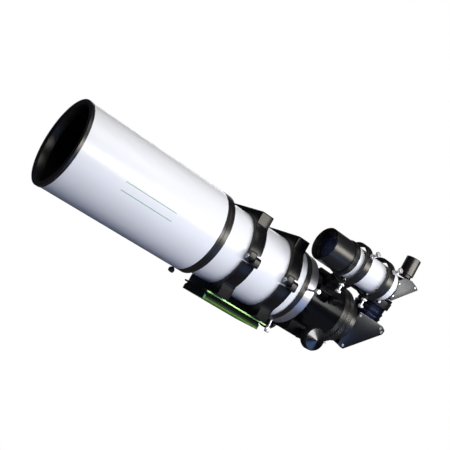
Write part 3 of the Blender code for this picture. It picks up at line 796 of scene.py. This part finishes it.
# dovetail bar
bar = {"plate": (310.0, 451.4), "block": (315.0, 436.8), "half": 38.0, "top": -77.0,
       "plateBottom": -79.7, "chamfer": 5.5}
piece = []
x0, x1 = bar["plate"]
half, chamfer = bar["half"], bar["chamfer"]
plate = [(x0 + chamfer, -half), (x1 - chamfer, -half), (x1, chamfer - half), (x1, half - chamfer),
         (x1 - chamfer, half), (x0 + chamfer, half), (x0, half - chamfer), (x0, chamfer - half)]
addExtruded(piece, "green", plate, bar["plateBottom"], bar["top"], xAxis, yAxis, zAxis, bevel=0.4)
# the plate's near and far side faces in bright green: a painted highlight
for side in (-1, 1):
    cutFlat(piece, (0, side * (half - 0.05), 0), (0, side, 0), "greenEdgeHighlight")
lower = [(31, -79.8), (31, -81.2), (38, -85.8), (38, -90.4), (36.6, -91.8)]
outline = lower + [(-y, z) for y, z in reversed(lower)]
front, back = bar["block"]
# the block's sides carry the painted reflection, brighter green low down
addExtruded(piece, "greenSidePaintedSheen", outline, front, back, yAxis, zAxis, xAxis, bevel=0.35)
# corner chamfers in pale green: a painted highlight
for side in (-1, 1):
    cutFlat(piece, (front + 2.6, side * half, 0), (-0.75, side * 0.66, 0), "greenChamferHighlight")
    cutFlat(piece, (back - 2.6, side * half, 0), (0.75, side * 0.66, 0), "greenChamferHighlight")
cutFlat(piece, (front + 0.4, 0, 0), (-1, 0, 0), "green")
closePiece(piece, "dovetailBar", "telescope_tube", ["dovetail_bar"])
print("bar made")

# rotator ring
piece = []
addTurned(piece, "silver", [(463.8, 58), (463.8, 64.1), (464.5, 64.7), (481.6, 64.7),
                            (482.3, 64.1), (482.3, 54.5), (480, 54.5), (480, 58)], count=160,
          soft=0.25)
closePiece(piece, "rotatorRing", "telescope_tube", ["rotator_ring"])
for where, angle in (("near", 7.0), ("upper", 142.0), ("lower", 277.0)):
    thumbScrew(f"rotator_screw_{where}", f"rotator_screw_{where}", (473, 0, 0), radial(angle),
               57.6, 76, 87)
print("rotator made")

# focuser
focus = {"pinionX": 520.0, "pinionZ": -58.3, "knobRadius": 20.3}
piece = []
addTurned(piece, "deepBlack", [(464.1, 43.6), (464.1, 57.3), (479.6, 57.3), (479.6, 52),
                                 (565.5, 52), (565.5, 43.6)], count=160, soft=0.5)
closePiece(piece, "focuserBody", "focuser", ["focuser_body"])

piece = []
shaftAt = (focus["pinionX"], 0, focus["pinionZ"])
outline = [(-26, -45.5)]
outline += rounded([(-26, -45), (-26, -61), (-21, -66), (21, -66), (26, -61), (26, -45)], 2.5, 4,
                   [1, 2, 3, 4])[1:-1]
outline += [(26, -45.5)] + arc(52.4, -60.3, -119.7, 30)
addExtruded(piece, "flock", outline, 497, 561, yAxis, zAxis, xAxis, bevel=0.6, sharpOnly=40)
for way in (-1, 1):
    addTurned(piece, "flock", [(20, 3.3), (20, 7.2), (59.6, 7.2), (59.6, 3.3)], shaftAt,
              yAxis * way, 48, 0.4)
points = [(x, y, -65.4) for x in (502, 556) for y in (-16, 16)]
addCapScrews(piece, "steel", points, -zAxis, 2.1, 1.2)
closePiece(piece, "pinionHousing", "focuser", ["pinion_housing"])

piece = []
addTurned(piece, "silver", [(435, 40.5), (435, 42.9), (588, 42.9), (588, 40.5)], soft=0.3)
addTurned(piece, "flock", [(436, 40.45), (436, 40.6), (587.5, 40.6), (587.5, 40.45)], soft=0)
closePiece(piece, "drawTube", "drawtube", ["drawtube"])


def addKnob(piece, way, tip):
    at = shaftAt
    addTurned(piece, "blackTurned", [(60.2, 0), (60.2, 17.5), (61.6, 19.4), (76, 19.4),
                                     (77.3, 18.6)] + tip, at, yAxis * way, 96, 0.3)
    addKnurl(piece, "rubber", at, yAxis * way, 68.6, focus["knobRadius"], 14.2, 64,
             0.9, slant=0.0, rows=8, fine=6, crown=1.5)


piece = []
addKnob(piece, -1, [(77.3, 0)])
addTurned(piece, "spun", [(76.9, 0), (76.9, 18.2)]
          + [(77.4 + 6.0 * i / 8, 18.5 * (1 - i / 8) + 0.3) for i in range(9)] + [(83.5, 0)],
          shaftAt, -yAxis, 120, 0)
closePiece(piece, "focusKnobNear", "focus_shaft", ["focus_knob_near"])
piece = []
addKnob(piece, 1, [(77.3, 0)])
closePiece(piece, "focusKnobFar", "focus_shaft", ["focus_knob_far"])
piece = []
addTurned(piece, "silver", [(77.7, 0), (77.7, 10.2), (78.6, 10.9), (88, 10.9), (90, 9.2), (90, 0)],
          shaftAt, yAxis, 64, 0.3)
addKnurl(piece, "silver", shaftAt, yAxis, 83.2, 11.4, 8.6, 44, 0.5, rows=5, fine=5)
closePiece(piece, "fineFocusKnob", "fine_focus_knob", ["fine_focus_knob"])

piece = []
addTurned(piece, "blackTurned", [(565.8, 43.4), (565.8, 51.2), (566.4, 51.7), (577, 51.7),
                                 (577.5, 50.8), (578.3, 50.8), (578.8, 51.7), (589, 51.7),
                                 (589.6, 51.2), (589.6, 43.4)], count=160, soft=0.2)
for middle in (571.6, 584.0):
    addKnurl(piece, "knurl", (0, 0, 0), xAxis, middle, 52.3, 10.0, 78, 1.1,
             slant=2.0, rows=24, fine=6, crown=1.4)
closePiece(piece, "knurledRing", "knurled_ring", ["knurled_ring"])

piece = []
addTurned(piece, "blackTurned", [(578, 25.7), (578, 40.1), (588.3, 40.1), (588.3, 38),
                                 (589.9, 38), (589.9, 41), (590.5, 41.6), (597.2, 41.6),
                                 (597.6, 40.9), (598.4, 40.9), (598.8, 41.6), (609, 41.6),
                                 (609.6, 41), (609.6, 26.4), (608.6, 25.7)], count=128, soft=0.3)
closePiece(piece, "visualBack", "drawtube", ["visual_back"])
thumbScrew("visual_back_screw", "visual_back_screw", (603, 0, 0), -zAxis, 25.9, 43.5, 51, head=4.0)
print("focuser made")

# mirror diagonal
diagonal = {"turn": 10.7, "fold": 648.0, "outer": 32.2, "inner": 29.1}
lean = math.radians(diagonal["turn"])
up = Vector((0, -math.sin(lean), math.cos(lean)))
near = Vector((0, -math.cos(lean), -math.sin(lean)))
fold = Vector((diagonal["fold"], 0, 0))
sideOutline = [(612, 33.4), (674, 33.4), (683.3, 28.7), (683.3, 20.6), (627.5, -38.7),
               (619.3, -38.5), (611.5, -35.7), (611.2, -29.3)]

piece = []
addTurned(piece, "nickel", [(576, 22.6), (576, 24.9), (576.8, 25.3), (610, 25.3), (610, 28.4),
                            (611.6, 28.4), (611.6, 22.6)], count=128, soft=0.2)
closePiece(piece, "diagonalNosepiece", "diagonal", ["diagonal_nosepiece"])

piece = []
inset = [(612, 33), (673.6, 33), (682.6, 28.4), (682.6, 21), (627.1, -38), (619.5, -37.8),
         (612, -35.3)]
wall = 28.8
addExtruded(piece, "dark", [(616, 29), (672, 29), (681, 29), (682.6, 28.4), (673.6, 33), (612, 33),
                            (612, 29)], -wall, wall, xAxis, up, near, bevel=0.3)
bore = []
addTurned(bore, "dark", [(20, 0), (20, 22.6), (40, 22.6), (40, 0)], fold, up, 96, 0)
carve(piece, bore)
addExtruded(piece, "dark", [(682.6, 28.4), (682.6, 21), (627.1, -38), (619.5, -37.8),
                            (616, -36.6), (616, -31), (626.2, -31), (672, 14.8), (672, 29)],
            -wall, wall, xAxis, up, near, bevel=0.3)
addTurned(piece, "dark", [(612, 22.6), (612, 28.6), (616, 28.6), (616, 22.6)], soft=0.2, count=96)
for w in ((-wall, -25.0), (25.0, wall)):
    addExtruded(piece, "dark", inset, w[0], w[1], xAxis, up, near, bevel=0.3)
addExtruded(piece, "dark", [(612, -20), (616, -20), (616, -36.6), (612, -35.3)], -wall, wall,
            xAxis, up, near, bevel=0.2)
closePiece(piece, "diagonalBody", "diagonal", ["diagonal_body"])

for where, sign in (("near", 1), ("far", -1)):
    piece = []
    low, high = sorted((sign * diagonal["inner"], sign * diagonal["outer"]))
    # the plate's bevel faces take the lighter edge colour, a painted highlight
    addExtruded(piece, "navy", rounded(sideOutline, 1.5, 3), low, high, xAxis, up, near,
                bevel=0.6, edge="edge")
    corners = [(617, 28), (672, 28), (678, 23), (622.5, -33)]
    points = [Vector((x, 0, 0)) + up * h + near * sign * (diagonal["outer"] - 0.5)
              for x, h in corners]
    addCapScrews(piece, "nickel", points, near * sign, 2.4, 1.1)
    closePiece(piece, f"diagonalPlate_{where}", "diagonal", [f"diagonal_plate_{where}"])

piece = []
addTurned(piece, "dark", [(33.7, 23), (33.7, 28.6), (36.5, 28.6), (37.5, 29.6), (39.5, 29.6),
                          (40.5, 28), (45, 28), (46, 29), (48.5, 29), (50, 27), (74.3, 27),
                          (74.3, 29.6), (78.2, 29.6), (79, 28.8), (79, 26.2), (78.3, 25.6),
                          (45, 25.6), (45, 23)], fold, up, 112, 0.4)
closePiece(piece, "eyepieceHolder", "diagonal", ["eyepiece_holder"])
piece = []
addTurned(piece, "blackTurned", [(59.5, 27.5), (59.5, 30.2), (60.3, 31), (73.2, 31), (74, 30.2),
                                 (74, 27.5)], fold, up, 112, 0.4)
closePiece(piece, "holderRing", "diagonal", ["holder_ring"])
for where, angle in (("front", 150.0), ("near", 245.0)):
    turn = math.radians(angle)
    way = xAxis * math.cos(turn) - near * math.sin(turn)
    thumbScrew(f"holder_screw_{where}", f"holder_screw_{where}", fold + up * 67, way, 26, 31.4, 37,
               stem=1.75, head=3.2, teeth=18)
print("diagonal made")

# finder
finder = {"y": -104.0, "z": 78.4}
centre = (0, finder["y"], finder["z"])
out = Vector((0, finder["y"], finder["z"])).normalized()
side = out.cross(xAxis).normalized()

piece = []
outline = [(11.2, 62), (16.4, 56.7), (-16.4, 56.7), (-11.2, 62)]
outline += rounded([(-11.2, 62), (-22, 62), (-22, 47.5)], 1.2, 3, [1])[1:-1]
outline += arc(52.4, 90 + 24.8, 90 - 24.8, 18)
outline += rounded([(22, 47.5), (22, 62), (11.2, 62)], 1.2, 3, [1])[1:-1]
addExtruded(piece, "black", outline, 490, 547, side, out, xAxis, bevel=0.5, sharpOnly=30)
closePiece(piece, "finderShoe", "focuser", ["finder_shoe"])

down = -side if side.z > 0 else side
shoeAt = Vector((525, 0, 0)) + out * 59.4
piece = []
addTurned(piece, "steel", [(16, 0), (16, 2), (23, 2), (23, 0)], shoeAt, down, 28, 0)
addTurned(piece, "black", [(22.8, 0), (22.8, 7.6), (23.8, 8.9), (31, 8.9), (32.4, 7.4),
                           (32.4, 5.6), (31.6, 5.2), (31.6, 0)], shoeAt, down, 64, 0.3)
addKnurl(piece, "black", shoeAt, down, 27.3, 9.5, 6.8, 36, 0.7, rows=5, fine=5)
closePiece(piece, "finderShoeKnob", "finder_shoe_knob", ["finder_shoe_knob"])

piece = []
foot = [(-15.9, 57.1), (15.9, 57.1), (10.9, 61.9), (10.9, 67), (8, 67), (8, 93), (-8, 93), (-8, 67),
        (-10.9, 67), (-10.9, 61.9)]
addExtruded(piece, "black", foot, 500, 533, side, out, xAxis, bevel=0.5)
addExtruded(piece, "black", [(-9, 91.5), (9, 91.5), (9, 96.6), (-9, 96.6)], 485.6, 555.3, side,
            out, xAxis, bevel=0.6)
for x0, x1 in ((485.4, 498.3), (540.9, 555.5)):
    addTurned(piece, "blackTurned", [(x0, 32.7), (x0, 35.9), (x0 + 0.6, 36.5), (x1 - 0.6, 36.5),
                                     (x1, 35.9), (x1, 32.7)], centre, xAxis, 128, 0.3)
    for angle in (30, 150, 270):
        addTurned(piece, "blackTurned", [(33, 0), (33, 4.6), (37.2, 4.6), (37.6, 4.2), (37.6, 0)],
                  ((x0 + x1) / 2, finder["y"], finder["z"]), radial(angle), 36, 0.2)
closePiece(piece, "finderBracket", "finder", ["finder_bracket"])
for where, (x0, x1) in (("front", (485.4, 498.3)), ("rear", (540.9, 555.5))):
    for way, angle in (("near", 30), ("far", 150), ("lower", 270)):
        name = f"finder_screw_{where}_{way}"
        thumbScrew(name, name, ((x0 + x1) / 2, finder["y"], finder["z"]), radial(angle), 28.1, 49,
                   54.5, head=4.9, nut=(38.5, 41.5, 4.9))

piece = []
addTurned(piece, "white", [(465.4, 26.8), (465.4, 27.7), (573.5, 27.7), (573.5, 26.8)], centre,
          xAxis, 128, 0.3)
addTurned(piece, "flock", [(452, 23.8), (452, 24.9), (465.4, 24.9), (465.4, 26.8), (573.5, 26.8),
                           (573.5, 26.5), (468, 26.5), (468, 23.8)], centre, xAxis, 96, 0)
closePiece(piece, "finderTube", "finder", ["finder_tube"])

piece = []
addTurned(piece, "blackTurned", [(422.2, 27.2), (422.2, 28.3), (422.7, 28.7), (464.8, 28.7),
                                 (464.8, 25.4), (446, 25.4), (446, 22.5), (444.6, 22.5),
                                 (444.6, 26), (434, 26), (434, 26.9)], centre, xAxis, 128, 0.2)
addTurned(piece, "blackTurned", [(432.4, 20.6), (432.4, 21.4), (433.6, 26.4), (434.6, 26.4),
                                 (434.6, 20.6)], centre, xAxis, 96, 0.15)
closePiece(piece, "finderDewShield", "finder_dew_shield", ["finder_dew_shield"])
piece = []
addTurned(piece, "lens", lensProfile(435.5, 437.6, 443.2, 444, 25.6), centre, xAxis, 96, 0)
closePiece(piece, "finderLens", "finder_dew_shield", ["finder_lens"])

piece = []
addTurned(piece, "black", [(465.1, 28.1), (465.1, 29.4), (465.7, 29.9), (475.5, 29.9),
                           (476.1, 29.4), (476.1, 28.1)], centre, xAxis, 128, 0.2)
addKnurl(piece, "black", centre, xAxis, 470.6, 30.6, 9.6, 48, 0.8, rows=6, fine=8,
         crown=1.7)
closePiece(piece, "finderLockRing", "finder_lock_ring", ["finder_lock_ring"])

piece = []
housing = [(589.6, 60), (583.3, 66), (583.3, 95.2), (595.4, 106), (609.6, 108.6), (623, 105.7),
           (631.8, 101.3)]
addTurned(piece, "blackTurned", [(573.8, 9.6), (573.8, 27.2), (576.5, 27.2), (581, 18),
                                 (586, 17.5), (586, 9.6)], centre, xAxis, 96, 0.5)
for low, high in ((-13.5, -10.6), (10.6, 13.5)):
    addExtruded(piece, "grey", rounded(housing, 1.2, 3), low, high, xAxis, zAxis, yAxis,
                (0, finder["y"], 0), bevel=0.4)
inner = [(590.2, 61.5), (584.2, 66.4), (584.2, 94.8), (595.7, 105.2), (609.6, 107.8),
         (622.7, 105), (630, 101)]
addExtruded(piece, "black", inner, -10.7, 10.7, xAxis, zAxis, yAxis, (0, finder["y"], 0),
            bevel=0.3)
points = [(x, finder["y"] - 13.45, z) for x, z in ((588, 69), (588, 92), (623, 101.5))]
addCapScrews(piece, "steel", points, -yAxis, 1.6, 0.7)
closePiece(piece, "finderPrismHousing", "finder", ["finder_prism_housing"])

piece = []
at = (603, finder["y"], 0)
addTurned(piece, "blackTurned", [(109.2, 0), (109.2, 10.5), (114, 10.5), (114, 12.5),
                                 (114.6, 12.9), (144.2, 12.9), (145, 12.2), (145, 8.5),
                                 (142, 7), (142, 0)], at, zAxis, 72, 0.3)
addTurned(piece, "lens", [(141.9, 0), (141.9, 6.8), (142.6, 6.8), (143.2, 0)], at, zAxis, 48, 0)
closePiece(piece, "finderEyepiece", "finder_eyepiece", ["finder_eyepiece"])
print("finder made")

# inner pieces keep their solids and take a finish
finishes = {"tube_baffle": "flock", "focus_rack": "brass", "pinion_shaft": "steel",
            "finder_prism": "lens", "diagonal_mirror": "mirror"}
for name, key in finishes.items():
    node = nodes[name]
    if node.material_slots:
        node.material_slots[0].material = mats[key]
    else:
        node.data.materials.append(mats[key])

# floor, backdrop and light
stage = {"floor": -0.75, "size": 14.0, "tone": 0.16}


def seenOrLit(tree, seen, lit):  # what the camera sees of a shader, and what lights the object
    path = tree.nodes.new("ShaderNodeLightPath")
    mix = tree.nodes.new("ShaderNodeMixShader")
    tree.links.new(path.outputs["Is Camera Ray"], mix.inputs[0])
    tree.links.new(lit, mix.inputs[1])
    tree.links.new(seen, mix.inputs[2])
    return mix.outputs[0]


floorMaterial = bpy.data.materials.new("paleFloor")
floorMaterial.use_nodes = True
tree = floorMaterial.node_tree
shader = tree.nodes["Principled BSDF"]
shader.inputs["Base Color"].default_value = (stage["tone"], stage["tone"], stage["tone"] * 1.2, 1)
shader.inputs["Roughness"].default_value = 0.9
glow = tree.nodes.new("ShaderNodeEmission")
glow.inputs["Color"].default_value = (1, 1, 1, 1)
tree.links.new(seenOrLit(tree, glow.outputs[0], shader.outputs[0]),
               tree.nodes["Material Output"].inputs["Surface"])
floorMesh = bpy.data.meshes.new("floor")
half = stage["size"] / 2
floorMesh.from_pydata([(-half, -half, stage["floor"]), (half, -half, stage["floor"]),
                       (half, half, stage["floor"]), (-half, half, stage["floor"])], [],
                      [(0, 1, 2, 3)])
floorMesh.materials.append(floorMaterial)
floor = bpy.data.objects.new("floor", floorMesh)
bpy.context.scene.collection.objects.link(floor)

world = bpy.data.worlds.new("studio")
bpy.context.scene.world = world
world.use_nodes = True
tree = world.node_tree
dim = tree.nodes["Background"]
bright = tree.nodes.new("ShaderNodeBackground")
bright.inputs["Color"].default_value = (1, 1, 1, 1)
direction = tree.nodes.new("ShaderNodeTexCoord")
split = tree.nodes.new("ShaderNodeSeparateXYZ")
tree.links.new(direction.outputs["Generated"], split.inputs[0])
ramp = tree.nodes.new("ShaderNodeValToRGB")
ramp.color_ramp.elements[0].position = 0.0
ramp.color_ramp.elements[0].color = (0.05, 0.08, 0.22, 1)
ramp.color_ramp.elements[1].position = 1.0
ramp.color_ramp.elements[1].color = (0.05, 0.05, 0.055, 1)
middle = ramp.color_ramp.elements.new(0.5)
middle.color = (0.03, 0.034, 0.05, 1)
height = tree.nodes.new("ShaderNodeMapRange")
height.inputs["From Min"].default_value = -1.0
tree.links.new(split.outputs[2], height.inputs["Value"])
tree.links.new(height.outputs["Result"], ramp.inputs[0])
tree.links.new(ramp.outputs[0], dim.inputs["Color"])
tree.links.new(seenOrLit(tree, bright.outputs[0], dim.outputs[0]),
               tree.nodes["World Output"].inputs["Surface"])


def areaLight(name, at, target, size, power, colour=(1, 1, 1)):
    light = bpy.data.lights.new(name, "AREA")
    light.energy = power
    light.shape = "RECTANGLE"
    light.size, light.size_y = size
    light.color = colour
    obj = bpy.data.objects.new(name, light)
    bpy.context.scene.collection.objects.link(obj)
    obj.location = at
    obj.rotation_euler = (Vector(target) - Vector(at)).to_track_quat("-Z", "Y").to_euler()
    obj.visible_camera = False


areaLight("key", (0.5, -1.7, 0.52), (0, 0, 0.1), (2.6, 0.6), 43)
areaLight("top", (-0.3, -0.9, 1.9), (0, 0, 0.1), (2.2, 0.9), 11)
areaLight("low", (0.3, -1.3, -0.6), (0, 0, 0.05), (2.2, 0.5), 5, (0.25, 0.45, 1.0))
areaLight("back", (0.6, 1.6, 0.9), (0, 0, 0.1), (1.6, 0.5), 4)
bpy.context.scene.view_settings.view_transform = "Standard"
bpy.context.scene.view_settings.exposure = 0.0
